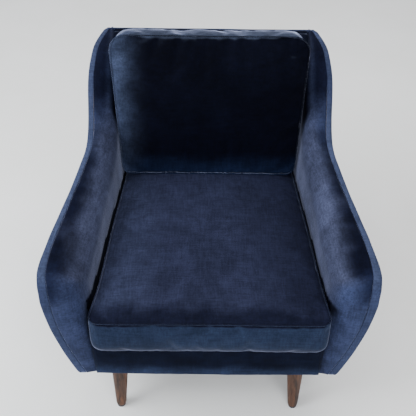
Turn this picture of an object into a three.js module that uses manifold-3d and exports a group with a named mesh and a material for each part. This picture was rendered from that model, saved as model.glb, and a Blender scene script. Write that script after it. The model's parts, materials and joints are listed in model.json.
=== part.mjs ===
// Lounge armchair: a padded hardwood shell with swept arms, a loose seat cushion, a loose back
// cushion and four splayed, tapered legs.
//
// Millimetres. +Z is up, +Y points to the back of the chair, and +X is to the right of someone who
// stands in front of it. Left and right in the names are as seen from there. The origin is on the
// floor, under the centre of the chair.

import * as THREE from "three";
import { mergeVertices } from "three/addons/utils/BufferGeometryUtils.js";
import Module from "manifold-3d";

const wasm = await Module();
wasm.setup();

// ---------- Driving dimensions ----------

const GAP = 0.4; // between pieces that touch on the real chair

const BASE_Z = 178; // underside of the upholstered body
const DECK_Z = 318; // top of the seat deck
const SEAT_Z = 450; // top of the seat cushion at its edges
const FRAME_TOP_Z = 785; // top of the upholstered back
const FRONT_Y = -390; // front edge of the arms
const REAR_Y = 430; // rear edge of the back, at the top
const REAR_Y_AT_BASE = 352;

const COVER = 2.6; // velvet and its wadding
const PADDING = 26; // foam on the inside of the arms and back
const SEAM_BAND = 16; // width of the boxing between the outer edge and the seam

const BACK_LEAN = 0.268; // inside back: run per unit of rise, a lean of 15 degrees
const INSIDE_BACK_Y = 262; // inside back at the height of the seat

const CUSHION_GAP = 6; // finger room round the loose cushions
const RAIL = 28; // thickness of the side rails of the seat
const RAIL_BOTTOM_Z = 205;
const RAIL_TOP_Z = 296;
const FRONT_RAIL_Y = [-367, -342];
const REAR_RAIL_Y = [312, 336];

const PLATE = 56; // side of the square steel plate above each leg
const PLATE_Z = [181.4, 183.8];
const FRAME_Z = PLATE_Z[1] + GAP; // underside of the hardwood frame
const LEG_TOP_RADIUS = 23.6;
const FOOT_RADIUS = 14.6;
const GLIDE_HEIGHT = 5;
const BOLT_RADIUS = 4;

// Where each leg meets the base, and where its foot stands.
const LEGS = [
  { name: "front_right", x: 244, y: -336, footX: 250, footY: -357 },
  { name: "front_left", x: -244, y: -336, footX: -250, footY: -357 },
  { name: "rear_right", x: 232, y: 300, footX: 238, footY: 328 },
  { name: "rear_left", x: -232, y: 300, footX: -238, footY: 328 },
];

// ---------- Materials ----------

const material = (color, roughness, metalness = 0) =>
  new THREE.MeshStandardMaterial({ color, roughness, metalness });

const velvet = material(0x1c2740, 0.9);
const foam = material(0xe6dcc0, 0.95);
const fibre = material(0xf0efea, 1.0);
const beech = material(0xc9a877, 0.7);
const walnut = material(0x4a2c1c, 0.5);
const steel = material(0x8f9296, 0.35, 1);
const webbing = material(0x2b2b2d, 0.9);
const cambric = material(0x17171a, 0.95);
const nylon = material(0x1a1d26, 0.5);

// ---------- Curves ----------

// A smooth function through points [t, value] that never overshoots them.
function smoothLine(points) {
  const slope = (i) => (points[i + 1][1] - points[i][1]) / (points[i + 1][0] - points[i][0]);
  const last = points.length - 1;
  const tangents = points.map((_, i) => {
    if (i === 0) return slope(0);
    if (i === last) return slope(last - 1);
    const [before, after] = [slope(i - 1), slope(i)];
    return before * after > 0 ? (2 * before * after) / (before + after) : 0;
  });
  return (t) => {
    if (t <= points[0][0]) return points[0][1];
    if (t >= points[last][0]) return points[last][1];
    const i = points.findIndex((p) => p[0] > t) - 1;
    const width = points[i + 1][0] - points[i][0];
    const f = (t - points[i][0]) / width;
    return (
      (1 + 2 * f) * (1 - f) ** 2 * points[i][1] +
      f * (1 - f) ** 2 * width * tangents[i] +
      f * f * (3 - 2 * f) * points[i + 1][1] +
      f * f * (f - 1) * width * tangents[i + 1]
    );
  };
}

const mix = (a, b, f) => a + (b - a) * f;
const clamp01 = (f) => Math.min(1, Math.max(0, f));

// A quarter-round: 0 at an edge, 1 once the distance from it reaches the radius.
const roll = (distance, radius) => Math.sqrt(1 - (1 - clamp01(distance / radius)) ** 2);

// The side of the chair is drawn along a station, which runs from FRONT_Y to REAR_Y.
const armTop = smoothLine([
  [-390, 498], [-378, 543], [-345, 565], [-150, 577], [60, 594], [160, 620],
  [235, 665], [300, 728], [355, 769], [430, FRAME_TOP_Z],
]);
const armOutAtTop = smoothLine([
  [-390, 407], [-340, 410], [-240, 400], [-100, 378], [30, 358], [125, 347],
  [275, 355], [345, 345], [400, 329], [430, 318],
]);
const armOutAtBase = smoothLine([
  [-390, 355], [-100, 345], [150, 330], [380, 312], [430, 305],
]);
const armInAtSeat = smoothLine([
  [-390, 306.5], [-330, 299.5], [-250, 292.5], [-90, 282.5], [70, 269.5], [160, 263], [430, 254],
]);
const frontEdge = smoothLine([
  [BASE_Z, -371], [350, -386], [450, -391], [FRAME_TOP_Z, FRONT_Y],
]);
const rearEdge = (z) =>
  mix(REAR_Y_AT_BASE, REAR_Y, (z - BASE_Z) / (FRAME_TOP_Z - BASE_Z));
const insideBack = (z) => INSIDE_BACK_Y + (z - SEAT_Z) * BACK_LEAN;

// ---------- The arm's surfaces, on the right-hand side ----------

const OUTER_BULGE = 1.7; // how soon the outer face reaches its full width above the base
const TOP_ROLL = 75;
const FRONT_ROLL = 52; // above the seat
const FRONT_ROLL_AT_BASE = 10; // the front of the arm is flatter beside the rail
const FLARE = 0.08; // the inner face leans out above the seat
const TUCK = 0.025; // and comes in a little below it

const stationY = (station, z) =>
  mix(frontEdge(z), rearEdge(z), (station - FRONT_Y) / (REAR_Y - FRONT_Y));

function outerFace(station, z) {
  const height = clamp01((z - BASE_Z) / (armTop(station) - BASE_Z));
  const out = 1 - (1 - height) ** OUTER_BULGE;
  return mix(armOutAtBase(station), armOutAtTop(station), out);
}

function innerFace(station, z) {
  return (
    armInAtSeat(station) +
    FLARE * Math.max(0, z - SEAT_Z) -
    TUCK * Math.max(0, SEAT_Z - z)
  );
}

// The arm's thickness, rolled off towards its top and front edges.
function armThickness(station, z) {
  const full = outerFace(station, z) - innerFace(station, z);
  const topRadius = mix(TOP_ROLL, 12, clamp01((station - 300) / 120));
  const frontRadius = mix(FRONT_ROLL_AT_BASE, FRONT_ROLL, clamp01((z - 230) / (SEAT_Z - 230)));
  const rolled = roll(armTop(station) - z, topRadius) * roll(station - FRONT_Y, frontRadius);
  return mix(SEAM_BAND, full, rolled);
}

// The face the padding and its cover lie under: the outer face less the thickness.
const wornFace = (station, z) => outerFace(station, z) - armThickness(station, z);

const stationAt = (y, z) =>
  FRONT_Y + ((REAR_Y - FRONT_Y) * (y - frontEdge(z))) / (rearEdge(z) - frontEdge(z));

const STATIONS = [
  -390, -387, -379, -365, -345, -300, -230, -150, -60, 40, 120, 180, 240, 295, 345, 385, 415, 426,
];
const OUTER_LEVELS = [0, 0.2, 0.42, 0.7, 1];
const TOP_DROPS = [0, 1, 4, 11, 24, 44, 75];
const INNER_LEVELS = [0.4, 0.72, 1];
const TUCK_IN_Z = 303; // where the inside covers are stapled, behind the front post

// ---------- Solids ----------

// Joins coincident points, drops the triangles that vanish, and turns every face outwards.
function solid(positions, index) {
  const raw = new THREE.BufferGeometry();
  raw.setAttribute("position", new THREE.Float32BufferAttribute(positions, 3));
  raw.setIndex(index);
  const merged = mergeVertices(raw, 1e-3);
  const old = merged.index.array;
  const kept = [];
  for (let i = 0; i < old.length; i += 3) {
    const [a, b, c] = [old[i], old[i + 1], old[i + 2]];
    if (a !== b && b !== c && c !== a) kept.push(a, b, c);
  }
  merged.setIndex(kept);
  if (volume(merged) < 0) turnInsideOut(merged);
  return merged;
}

function volume(geometry) {
  const p = geometry.attributes.position;
  const [a, b, c] = [new THREE.Vector3(), new THREE.Vector3(), new THREE.Vector3()];
  let sum = 0;
  for (let i = 0; i < geometry.index.count; i += 3) {
    a.fromBufferAttribute(p, geometry.index.getX(i));
    b.fromBufferAttribute(p, geometry.index.getX(i + 1));
    c.fromBufferAttribute(p, geometry.index.getX(i + 2));
    sum += a.dot(b.cross(c)) / 6;
  }
  return sum;
}

function turnInsideOut(geometry) {
  const index = geometry.index.array;
  for (let i = 0; i < index.length; i += 3)
    [index[i + 1], index[i + 2]] = [index[i + 2], index[i + 1]];
}

// A closed body through rings of [x, y, z] points, with a flat cap on the first and the last.
// The caps fan from a ring's first point, so the end rings are convex.
function loft(rings) {
  const size = rings[0].length;
  const last = (rings.length - 1) * size;
  const index = [];
  for (let r = 0; r < rings.length - 1; r++)
    for (let i = 0; i < size; i++) {
      const a = r * size + i;
      const b = r * size + ((i + 1) % size);
      index.push(a, b, b + size, a, b + size, a + size);
    }
  for (let i = 1; i < size - 1; i++) {
    index.push(0, i + 1, i);
    index.push(last, last + i, last + i + 1);
  }
  return solid(rings.flat(2), index);
}

// A body between two level rings whose outline may be concave.
function prism(lower, upper) {
  const size = lower.length;
  const index = [];
  for (let i = 0; i < size; i++) {
    const next = (i + 1) % size;
    index.push(i, next, next + size, i, next + size, i + size);
  }
  const outline = lower.map(([x, y]) => new THREE.Vector2(x, y));
  for (const [a, b, c] of THREE.ShapeUtils.triangulateShape(outline, [])) {
    index.push(a, c, b);
    index.push(size + a, size + b, size + c);
  }
  return solid([...lower, ...upper].flat(2), index);
}

// A closed sheet between two grids of points that face each other.
function sheet(front, back) {
  const rows = front.length;
  const columns = front[0].length;
  const index = [];
  const at = (side, r, c) => side * rows * columns + r * columns + c;
  const quad = (a, b, c, d) => index.push(a, b, c, a, c, d);
  for (let r = 0; r < rows - 1; r++)
    for (let c = 0; c < columns - 1; c++) {
      quad(at(0, r, c), at(0, r, c + 1), at(0, r + 1, c + 1), at(0, r + 1, c));
      quad(at(1, r, c), at(1, r + 1, c), at(1, r + 1, c + 1), at(1, r, c + 1));
    }
  for (let c = 0; c < columns - 1; c++) {
    quad(at(0, 0, c), at(1, 0, c), at(1, 0, c + 1), at(0, 0, c + 1));
    const r = rows - 1;
    quad(at(0, r, c + 1), at(1, r, c + 1), at(1, r, c), at(0, r, c));
  }
  for (let r = 0; r < rows - 1; r++) {
    quad(at(0, r + 1, 0), at(1, r + 1, 0), at(1, r, 0), at(0, r, 0));
    const c = columns - 1;
    quad(at(0, r, c), at(1, r, c), at(1, r + 1, c), at(0, r + 1, c));
  }
  return solid([...front, ...back].flat(2), index);
}

// The grid moved along its own normals. The depth may depend on the row and the column.
function offsetGrid(grid, depth) {
  const clampRow = (r) => grid[Math.min(grid.length - 1, Math.max(0, r))];
  const clampColumn = (row, c) => row[Math.min(row.length - 1, Math.max(0, c))];
  const vector = (p) => new THREE.Vector3(...p);
  return grid.map((row, r) =>
    row.map((point, c) => {
      const across = vector(clampColumn(row, c + 1)).sub(vector(clampColumn(row, c - 1)));
      const down = vector(clampRow(r + 1)[c]).sub(vector(clampRow(r - 1)[c]));
      const normal = across.cross(down).normalize();
      const distance = typeof depth === "number" ? depth : depth(r, c);
      return vector(point).addScaledVector(normal, distance).toArray();
    }),
  );
}

function box(x, y, z) {
  const geometry = new THREE.BoxGeometry(x[1] - x[0], y[1] - y[0], z[1] - z[0]);
  geometry.translate((x[0] + x[1]) / 2, (y[0] + y[1]) / 2, (z[0] + z[1]) / 2);
  geometry.deleteAttribute("normal");
  geometry.deleteAttribute("uv");
  return mergeVertices(geometry, 1e-3);
}

// A level rectangle, as a ring of points.
const rectangle = ([x0, x1], [y0, y1], z) => [
  [x0, y0, z], [x1, y0, z], [x1, y1, z], [x0, y1, z],
];

const circle = (cx, cy, z, radius, sides) =>
  Array.from({ length: sides }, (_, i) => {
    const angle = (2 * Math.PI * (i + 0.5)) / sides;
    return [cx + radius * Math.cos(angle), cy + radius * Math.sin(angle), z];
  });

function mirrored(geometry) {
  const copy = geometry.clone();
  copy.scale(-1, 1, 1);
  turnInsideOut(copy);
  return copy;
}

function toManifold(geometry) {
  const mesh = new wasm.Mesh({
    numProp: 3,
    vertProperties: new Float32Array(geometry.attributes.position.array),
    triVerts: new Uint32Array(geometry.index.array),
  });
  mesh.merge();
  return new wasm.Manifold(mesh);
}

function fromManifold(manifold) {
  const mesh = manifold.getMesh();
  const geometry = new THREE.BufferGeometry();
  geometry.setAttribute("position", new THREE.Float32BufferAttribute(mesh.vertProperties, 3));
  geometry.setIndex([...mesh.triVerts]);
  return geometry;
}

const subtract = (body, ...tools) =>
  fromManifold(tools.reduce((rest, tool) => rest.subtract(toManifold(tool)), toManifold(body)));

const unite = (...bodies) => fromManifold(wasm.Manifold.union(bodies.map(toManifold)));

// ---------- The chair ----------

const chair = new THREE.Group();
chair.name = "upholstered_armchair";

function add(name, geometry, finish) {
  geometry.computeVertexNormals();
  const mesh = new THREE.Mesh(geometry, finish);
  mesh.name = name;
  chair.add(mesh);
}

function addPair(name, geometry, finish) {
  add(`${name}_right`, geometry, finish);
  add(`${name}_left`, mirrored(geometry), finish);
}

// ---------- Covers and padding of the arms ----------

// The outer face, from the base to the seam along the arm's edge.
function outsideArmGrid() {
  return STATIONS.map((station) =>
    OUTER_LEVELS.map((level) => {
      const z = mix(BASE_Z, armTop(station), level);
      return [outerFace(station, z), armY(station, z), z];
    }),
  );
}

// The arms stop short of the outside back cover.
const REAR_SEAM = COVER + 1.6;
const armY = (station, z) => Math.min(stationY(station, z), rearEdge(z) - REAR_SEAM);

const SEAM_INSET = COVER + 2; // the boxing strip starts inside the edge of the outside cover
const insideBottom = (station) => (station < -350 ? BASE_Z : TUCK_IN_Z);

// One row per station: the boxing strip along the edge, the roll, and the inner face.
function insideArmGrid() {
  const rows = STATIONS.map((station) => {
    const top = armTop(station);
    const lowest = insideBottom(station);
    const rolled = top - TOP_DROPS[TOP_DROPS.length - 1];
    const levels = [
      ...TOP_DROPS.map((drop) => top - drop),
      ...INNER_LEVELS.map((level) => mix(rolled, lowest, level)),
    ];
    const strip = [outerFace(station, top) - SEAM_INSET, armY(station, top), top];
    return [strip, ...levels.map((z) => [wornFace(station, z), armY(station, z), z])];
  });
  return [frontStrip(rows[0]), ...rows];
}

// The boxing strip down the front edge, level with the first row.
const frontStrip = (row) =>
  row.map(([x, y, z], i) => (i === 0 ? [x, y, z] : [outerFace(FRONT_Y, z) - SEAM_INSET, y, z]));

// Thin along the seams and in the wings, full on the inner face and the roll.
function paddingDepth(row, column) {
  const station = STATIONS[Math.min(Math.max(0, row - 1), STATIONS.length - 1)];
  const lastColumn = TOP_DROPS.length + INNER_LEVELS.length;
  const fromSeam = clamp01(Math.min(column - 1, lastColumn - column) / 4);
  const full = mix(PADDING, 9, clamp01((station - 200) / 180));
  return COVER + GAP + 3 + full * fromSeam * clamp01((row - 1) / 5);
}

function addArms() {
  const outside = outsideArmGrid();
  addPair("outside_arm_cover", sheet(outside, offsetGrid(outside, COVER)), velvet);
  const inside = insideArmGrid();
  addPair("inside_arm_cover", sheet(inside, offsetGrid(inside, COVER)), velvet);
  const within = (depth) =>
    offsetGrid(inside, depth).slice(1, -1).map((row) => row.slice(1));
  addPair("arm_padding", sheet(within(COVER + GAP), within(paddingDepth)), foam);
}

// ---------- Covers and padding of the back ----------

const BACK_ROLL = 34;
const BACK_TOP_DROPS = [0, 2, 8, 18, 34];
const BACK_LEVELS = [700, 600, 450, 311];
const BACK_SIDE_GAP = 2.5; // between the inside back and the arms

// One point of the inside back: the strip along the top edge, the roll, then the leaning face.
function insideBackPoint(z, drop) {
  const rear = rearEdge(z) - REAR_SEAM;
  const full = rear - insideBack(z);
  const y = rear - mix(SEAM_BAND, full, roll(drop, BACK_ROLL));
  return [y, z];
}

function insideBackGrid(inset) {
  const backTop = (y) => armTop(stationAt(y, FRAME_TOP_Z)) - inset;
  const rolled = BACK_TOP_DROPS.map((drop) => {
    const [y] = insideBackPoint(FRAME_TOP_Z - drop, drop);
    return [y + inset, backTop(y) - drop];
  });
  const flat = BACK_LEVELS.map((z) => [insideBack(z) + inset, z]);
  const rear = rearEdge(FRAME_TOP_Z) - REAR_SEAM;
  const profile = [[rear, FRAME_TOP_Z - inset], ...rolled, ...flat];
  return profile.map(([y, z]) => {
    const half = innerFace(stationAt(y, z), z) - BACK_SIDE_GAP;
    return [-half, -half / 2, 0, half / 2, half].map((x) => [x, y, z]);
  });
}

// Covers the whole rear plane, from the base to the top edge.
function outsideBackGrid() {
  return [BASE_Z, 330, 480, 630, FRAME_TOP_Z].map((z) => {
    const half = outerFace(REAR_Y, z);
    return [-1, -0.5, 0, 0.5, 1].map((f) => [f * half, rearEdge(z), z]);
  });
}

function addBack() {
  const inside = insideBackGrid(0);
  add("inside_back_cover", sheet(inside, offsetGrid(inside, COVER)), velvet);
  const lining = insideBackGrid(COVER + GAP).slice(1);
  add("back_padding", sheet(lining, offsetGrid(lining, PADDING)), foam);
  const outside = outsideBackGrid();
  add("outside_back_cover", sheet(outside, offsetGrid(outside, COVER)), velvet);
}

// ---------- Front rail, deck and underside ----------

const RAIL_FACE_Y = -377;
const ARM_CLEARANCE = 1.2;

const insideArmAt = (y, z) => wornFace(stationAt(y, z), z);

// Goes up the front of the rail and turns back over the edge of the deck.
function addFrontRailCover() {
  const profile = [
    [-372, BASE_Z], [RAIL_FACE_Y, 240], [RAIL_FACE_Y, 304], [-371, 313], [-361, 317], [-325, 317],
  ];
  const grid = profile.map(([y, z]) => {
    const half = railHalfWidth(z) - ARM_CLEARANCE;
    return [-1, 0, 1].map((f) => [f * half, y, z]);
  });
  add("front_rail_cover", sheet(grid, offsetGrid(grid, -COVER)), velvet);
}

// The rail is fitted between the arm fronts.
const railHalfWidth = (z) => mix(299.5, 295.5, (z - BASE_Z) / (DECK_Z - BASE_Z));

// A flat layer between the arms and the back, with its outline taken at height z.
function deckLayer(z0, z1, frontY, clearance) {
  const ring = (z) => {
    const rearY = insideBack(z1) - clearance;
    const stops = [frontY, -250, -120, 20, 130, rearY];
    const right = stops.map((y) => [insideArmAt(y, z0) - clearance, y, z]);
    return [...right, ...right.map(([x, y, zz]) => [-x, y, zz]).reverse()];
  };
  return loft([ring(z0), ring(z1)]);
}

function addDeck() {
  add("deck_pad", deckLayer(303, 315.5, -322, 4), foam);
  add("deck_cloth", deckLayer(316, 317.6, -322, 3), cambric);
}

// Reaches the side panels, and is cut back at the front where the arm covers come down.
const DUST_COVER_OUTLINE = [
  [293, -366], [293, -336], [339, -322], [337, -100], [324, 120], [300, 344],
];

function addDustCover() {
  const ring = (z) => closed(DUST_COVER_OUTLINE).map(([x, y]) => [x, y, z]);
  const holes = LEGS.map(({ x, y }) => {
    const half = PLATE / 2 + 2;
    return box([x - half, x + half], [y - half, y + half], [170, 190]);
  });
  add("dust_cover", subtract(prism(ring(179), ring(180.2)), ...holes), cambric);
}

// ---------- Legs ----------

const SIDES = 16;

function legBody({ x, y, footX, footY }) {
  const levels = [GLIDE_HEIGHT + GAP, 14, 60, 120, 165, PLATE_Z[0] - GAP];
  const radii = [FOOT_RADIUS - 1.2, FOOT_RADIUS, 17.2, 20.6, 23, LEG_TOP_RADIUS];
  const rings = levels.map((z, i) => {
    const rise = z / PLATE_Z[0];
    return circle(mix(footX, x, rise), mix(footY, y, rise), z, radii[i], SIDES);
  });
  const bolt = loft([140, 190].map((z) => circle(x, y, z, BOLT_RADIUS + GAP, 12)));
  return subtract(loft(rings), bolt);
}

function addLegs() {
  for (const leg of LEGS) {
    const { name, x, y, footX, footY } = leg;
    const half = PLATE / 2;
    const plate = box([x - half, x + half], [y - half, y + half], PLATE_Z);
    const bolt = loft([146, 214].map((z) => circle(x, y, z, BOLT_RADIUS, 12)));
    const glide = [0, GLIDE_HEIGHT].map((z) => circle(footX, footY, z, FOOT_RADIUS - 2, 12));
    add(`leg_${name}`, legBody(leg), walnut);
    add(`leg_plate_${name}`, unite(plate, bolt), steel);
    add(`glide_${name}`, loft(glide), nylon);
  }
}

// ---------- Hardwood frame ----------

function cornerBlock({ name, x, y }) {
  const [outX, inX] = [Math.abs(x) + 34, Math.abs(x) - 46];
  const inwards = y < 0 ? 1 : -1;
  const nearY = y < 0 ? FRONT_RAIL_Y[1] + GAP : REAR_RAIL_Y[0] - GAP;
  const farY = nearY + inwards * 58;
  const side = Math.sign(x);
  const ring = (z) => [
    [side * inX, nearY, z],
    [side * outX, nearY, z],
    [side * outX, farY, z],
    [side * (outX - 16), farY, z],
  ];
  const hole = loft([FRAME_Z - 9, 300].map((z) => circle(x, y, z, BOLT_RADIUS + GAP, 12)));
  add(`corner_block_${name}`, subtract(loft([ring(FRAME_Z), ring(250)]), hole), beech);
}

function addSeatFrame() {
  const front = rectangle([-292, 292], FRONT_RAIL_Y, FRAME_Z);
  const frontTop = rectangle([-283, 283], FRONT_RAIL_Y, RAIL_TOP_Z);
  add("frame_front_rail", loft([front, frontTop]), beech);
  const rear = [FRAME_Z, RAIL_TOP_Z].map((z) => rectangle([-262, 262], REAR_RAIL_Y, z));
  add("frame_rear_rail", loft(rear), beech);
  addPair("frame_side_rail", sideRail(), beech);
  for (const leg of LEGS) cornerBlock(leg);
}

function sideRail() {
  const end = (x, y) => [
    [x, y, RAIL_BOTTOM_Z],
    [x + RAIL, y, RAIL_BOTTOM_Z],
    [x + RAIL, y, RAIL_TOP_Z],
    [x, y, RAIL_TOP_Z],
  ];
  return loft([end(300, -318), end(266, 336)]);
}

// A stile that stands in the arm and leans out with it.
function armStile(station, depth, lower, upper) {
  const ring = ({ x, z, width }) => {
    const y = armY(station, z);
    return rectangle([x, x + width], [y - depth / 2, y + depth / 2], z);
  };
  return loft([ring(lower), ring(upper)]);
}

function addUprights() {
  const armPost = [{ x: 325, z: FRAME_Z, width: 17 }, { x: 358.5, z: 496, width: 21 }];
  addPair("arm_post", armStile(-350, 30, ...armPost), beech);
  const wingPost = [{ x: 274, z: RAIL_TOP_Z + GAP, width: 20 }, { x: 300, z: 698, width: 20 }];
  addPair("wing_post", armStile(350, 30, ...wingPost), beech);
  addPair("arm_rail", armRail(), beech);
  addPair("back_post", backPost(), beech);
}

// Follows the sweep of the arm under its outer edge.
function armRail() {
  const rings = [-325, -240, -100, 40, 140, 220, 280, 325].map((station) => {
    const z = armTop(station) - 56;
    const x = outerFace(station, z) - COVER - 3.5;
    const y = armY(station, z);
    return [[x - 20, y, z], [x, y, z], [x, y, z + 26], [x - 20, y, z + 26]];
  });
  return loft(rings);
}

function backPost() {
  const ring = (z) => {
    const y = rearEdge(z) - COVER - 5;
    return rectangle([222, 248], [y - 28, y], z);
  };
  return loft([ring(RAIL_TOP_Z + GAP), ring(732)]);
}

function backRail(z0, z1) {
  const ring = (z) => {
    const y = rearEdge(z) - COVER - 5;
    return rectangle([-221, 221], [y - 24, y], z);
  };
  return loft([ring(z0), ring(z1)]);
}

function addBackFrame() {
  add("back_lower_rail", backRail(420, 470), beech);
  add("back_top_rail", backRail(680, 732), beech);
}

// ---------- Springs and webbing ----------

const SPRING_COUNT = 5;
const SPRING_PITCH = 84;
const SPRING_AMPLITUDE = 22;
const SPRING_BENDS = 15;
const SPRING_Z = 299.4;
const WIRE = 1.9;

// A sinuous spring: a wire bent from side to side as it runs from the front rail to the rear.
function sinuousSpring(x) {
  const [start, end] = [FRONT_RAIL_Y[0] + 10, REAR_RAIL_Y[1] - 10];
  const path = [];
  for (let i = 0; i <= SPRING_BENDS * 2; i++) {
    const f = i / (SPRING_BENDS * 2);
    const side = i % 4 < 2 ? 1 : -1;
    const y = mix(start, end, Math.ceil(i / 2) / SPRING_BENDS);
    path.push([x + side * SPRING_AMPLITUDE, y, SPRING_Z]);
  }
  return wire(path, WIRE);
}

// A square-section wire along a flat path.
function wire(path, radius) {
  const rings = path.map((point, i) => {
    const before = path[Math.max(0, i - 1)];
    const after = path[Math.min(path.length - 1, i + 1)];
    const [dx, dy] = [after[0] - before[0], after[1] - before[1]];
    const length = Math.hypot(dx, dy);
    const [nx, ny] = [(-dy / length) * radius, (dx / length) * radius];
    const [x, y, z] = point;
    return [[x + nx, y + ny, z], [x, y, z + radius], [x - nx, y - ny, z], [x, y, z - radius]];
  });
  return loft(rings);
}

function addSprings() {
  for (let i = 0; i < SPRING_COUNT; i++) {
    const x = (i - (SPRING_COUNT - 1) / 2) * SPRING_PITCH;
    add(`seat_spring_${i + 1}`, sinuousSpring(x), steel);
  }
}

const WEB_WIDTH = 50;
const WEB_THICKNESS = 1.6;

// Two straps across the fronts of the back posts, which they follow as they lean.
function addWebbing() {
  [560, 630].forEach((z, i) => {
    const front = rearEdge(z) - COVER - 35.2;
    const lean = 6.4;
    const ring = (x) => [
      [x, front, z],
      [x, front + WEB_THICKNESS, z],
      [x, front + WEB_THICKNESS + lean, z + WEB_WIDTH],
      [x, front + lean, z + WEB_WIDTH],
    ];
    add(`back_webbing_${i + 1}`, loft([ring(-246), ring(246)]), webbing);
  });
}

// ---------- Loose cushions ----------

const CUSHION_COVER = 1.6;
const CORE_INSET = 4.5;
const CORNER = 26;
const CORNER_STEPS = 3;

// Half an outline, from the middle of the front round the right to the middle of the rear.
function halfOutline(halfWidth, frontY, rearY, middles) {
  const arc = (cx, cy, from) =>
    Array.from({ length: CORNER_STEPS + 1 }, (_, i) => {
      const angle = from + (i * Math.PI) / 2 / CORNER_STEPS;
      return [cx + CORNER * Math.cos(angle), cy + CORNER * Math.sin(angle)];
    });
  return [
    ...arc(halfWidth(frontY) - CORNER, frontY + CORNER, -Math.PI / 2),
    ...middles.map((y) => [halfWidth(y), y]),
    ...arc(halfWidth(rearY) - CORNER, rearY - CORNER, 0),
  ];
}

const closed = (half) => [...half, ...half.map(([x, y]) => [-x, y]).reverse()];

// Height above the deck, and how far the section is drawn in there.
const SEAT_SECTIONS = [
  [0, 16], [5, 4], [14, 0], [60, 0], [118, 0], [127, 3], [133, 14], [140, 70], [142, 150],
];
const SEAT_DROP = 0.026; // the top falls towards the back
const SEAT_REAR_GAP = 9;
const seatFront = smoothLine([[0, -400], [60, -427], [130, -415], [142, -413]]);

function seatBody(offset) {
  const rings = SEAT_SECTIONS.map(([height, drawnIn]) => {
    const rise = mix(offset, SEAT_SECTIONS.at(-1)[0] - offset, height / SEAT_SECTIONS.at(-1)[0]);
    const inset = drawnIn + offset;
    const level = (y) => DECK_Z + 0.4 + rise * (1 - (SEAT_DROP * (y + 418)) / 142);
    const halfWidth = (y) => armInAtSeat(y) - CUSHION_GAP - inset;
    const rearY = insideBack(DECK_Z + rise * 0.88) - SEAT_REAR_GAP - inset;
    const half = halfOutline(halfWidth, seatFront(height) + inset, rearY, [-250, -100, 50]);
    return closed(half).map(([x, y]) => [x, y, level(y)]);
  });
  return loft(rings);
}

const BACK_CUSHION_Z = 451;
const BACK_THICKNESS = 112;
// Depth forward of the cushion's rear face, and how far the section is drawn in there.
const BACK_SECTIONS = [
  [0, 12], [4, 3], [12, 0], [56, 0], [102, 0], [109, 4], [114, 14], [124, 70], [127, 140],
];
const BACK_REAR_GAP = 4;

function backBody(offset) {
  const total = BACK_SECTIONS.at(-1)[0];
  const rings = BACK_SECTIONS.map(([depth, drawnIn]) => {
    const forward = mix(offset, total - offset, depth / total);
    const inset = drawnIn + offset;
    const bottom = BACK_CUSHION_Z + inset;
    const top = 817 + (38 * forward) / BACK_THICKNESS - inset;
    const halfWidth = (z) => mix(258, 279, (z - BACK_CUSHION_Z) / 390) - inset;
    const middles = [mix(bottom, top, 0.35), mix(bottom, top, 0.65)];
    const half = halfOutline(halfWidth, bottom, top, middles);
    return closed(half).map(([x, z]) => [x, insideBack(z) - BACK_REAR_GAP - forward, z]);
  });
  return loft(rings);
}

const ZIP_LENGTH = 420;
const SLIT = 11;

// A zip in its own frame: X runs along it, Y points out of the cushion, and Z is across the tape.
function zipPieces() {
  const half = ZIP_LENGTH / 2;
  const tape = box([-half, half], [-0.6, 0.4], [-9, 9]);
  const coil = box([8 - half, half - 8], [0.2, 1.9], [-2.4, 2.4]);
  const bodyBlock = box([-6, 6], [0.8, 3.9], [-5, 5]);
  const channel = box([-7, 7], [0, 2.3], [-2.8, 2.8]);
  const pull = box([-3, 3], [3.7, 5], [-26, 0]);
  return { chain: unite(tape, coil), slider: unite(subtract(bodyBlock, channel), pull) };
}

const slitTool = () => {
  const half = ZIP_LENGTH / 2 - 6;
  return box([-half, half], [-6, 6], [-SLIT / 2, SLIT / 2]);
};

const placed = (geometry, frame) => geometry.clone().applyMatrix4(frame);

// The seat's zip is in its rear boxing, and the back's is in its bottom boxing.
function seatZipFrame() {
  const z = DECK_Z + 62;
  const outwards = new THREE.Vector3(0, 1, -BACK_LEAN * 0.88).normalize();
  const frame = zipAxes(outwards);
  return frame.setPosition(0, insideBack(z) - SEAT_REAR_GAP - CUSHION_COVER - 1.1, z);
}

function backZipFrame() {
  const y = insideBack(BACK_CUSHION_Z) - BACK_REAR_GAP - 56;
  return zipAxes(new THREE.Vector3(0, 0, -1)).setPosition(0, y, BACK_CUSHION_Z + CUSHION_COVER + 1.1);
}

function zipAxes(outwards) {
  const along = new THREE.Vector3(1, 0, 0);
  return new THREE.Matrix4().makeBasis(along, outwards, along.clone().cross(outwards));
}

function addCushion(name, body, zipFrame) {
  const { chain, slider } = zipPieces();
  const cover = subtract(body(0), body(CUSHION_COVER), placed(slitTool(), zipFrame));
  add(`${name}_cushion_cover`, cover, velvet);
  add(`${name}_cushion_core`, body(CORE_INSET), name === "seat" ? foam : fibre);
  add(`${name}_zip_chain`, placed(chain, zipFrame), nylon);
  add(`${name}_zip_slider`, placed(slider, zipFrame), steel);
}

addArms();
addBack();
addFrontRailCover();
addDeck();
addDustCover();
addLegs();
addSeatFrame();
addUprights();
addBackFrame();
addSprings();
addWebbing();
addCushion("seat", seatBody, seatZipFrame());
addCushion("back", backBody, backZipFrame());

export default chair;
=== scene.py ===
"""Lounge armchair in navy velvet: upholstery, cushions, seams, legs, materials, light and camera.

Metres. +Z is up, +Y points to the back of the chair, and the origin is on the floor under its
centre. The arms are modelled on the right-hand side and mirrored.
"""

import json
import math

import bpy
import numpy as np
from mathutils import Matrix, Vector
from mathutils.kdtree import KDTree
from mathutils.noise import noise


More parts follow.
